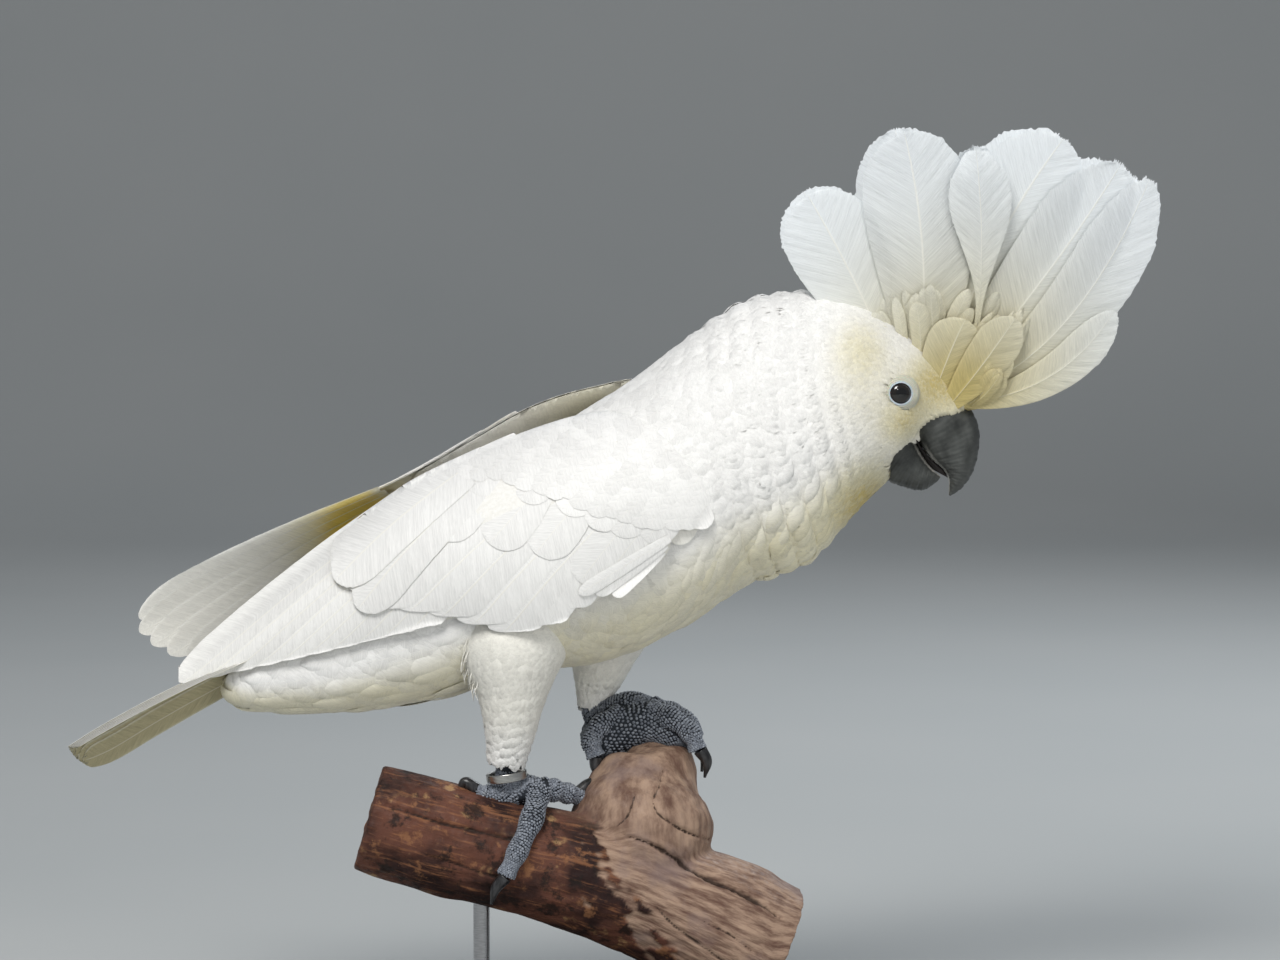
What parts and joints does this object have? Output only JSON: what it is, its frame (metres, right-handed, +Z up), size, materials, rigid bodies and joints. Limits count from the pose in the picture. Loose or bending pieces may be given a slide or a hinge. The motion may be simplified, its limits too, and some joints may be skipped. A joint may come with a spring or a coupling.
{
  "type": "white cockatoo on a perch",
  "caption": "Life-size still model of a white cockatoo with its crest fanned, gripping a short cut branch that slim rods hold above a flat display base.",
  "frame": {"origin": "centre of the underside of the display base, on the floor", "axes": "+X is the way the bird faces, +Z is up, and the bird's left side is at +Y"},
  "size_m": [0.466, 0.15, 0.3996],
  "materials": {
    "plumage": "soft matt white contour feathers, warm cream on the face and in the shade",
    "crest": "thin silky white vanes, yellow towards their roots",
    "eye": "wet gloss, near black",
    "bill": "dark grey horn with a pale dusty bloom",
    "foot_skin": "blue-grey skin with small matt scales",
    "claw": "dark polished horn",
    "ring": "bright steel, lightly scuffed",
    "perch_wood": "weathered branch, part bark and part bare worn wood",
    "stand_base": "black satin paint",
    "stand_rod": "brushed"
  },
  "bodies": {
    "root": {"trunk": "plumage", "neck": "plumage", "head": "plumage", "eye_right": "eye", "eye_left": "eye", "bill_upper": "bill", "bill_lower": "bill", "tail": "plumage", "crest_middle": "crest", "crest_right_hind": "crest", "crest_right_crown": "crest", "crest_right_top": "crest", "crest_right_fore": "crest", "crest_right_brow": "crest", "crest_right_forehead": "crest", "crest_right_short": "crest", "crest_right_tuft": "crest", "crest_left_hind": "crest", "crest_left_crown": "crest", "crest_left_top": "crest", "crest_left_fore": "crest", "crest_left_brow": "crest", "crest_left_forehead": "crest", "crest_left_short": "crest", "crest_left_tuft": "crest", "wing_right_primaries": "plumage", "wing_right_secondaries": "plumage", "wing_right_coverts": "plumage", "wing_left_primaries": "plumage", "wing_left_secondaries": "plumage", "wing_left_coverts": "plumage", "trousers_right": "plumage", "shank_right": "foot_skin", "toe_right_1": "foot_skin", "claw_right_1": "claw", "toe_right_2": "foot_skin", "claw_right_2": "claw", "toe_right_3": "foot_skin", "claw_right_3": "claw", "toe_right_4": "foot_skin", "claw_right_4": "claw", "trousers_left": "plumage", "shank_left": "foot_skin", "toe_left_1": "foot_skin", "claw_left_1": "claw", "toe_left_2": "foot_skin", "claw_left_2": "claw", "toe_left_3": "foot_skin", "claw_left_3": "claw", "toe_left_4": "foot_skin", "claw_left_4": "claw", "leg_ring": "ring", "perch": "perch_wood", "stand_base": "stand_base", "stand_rod_1": "stand_rod", "stand_rod_2": "stand_rod"}
  },
  "joints": []
}
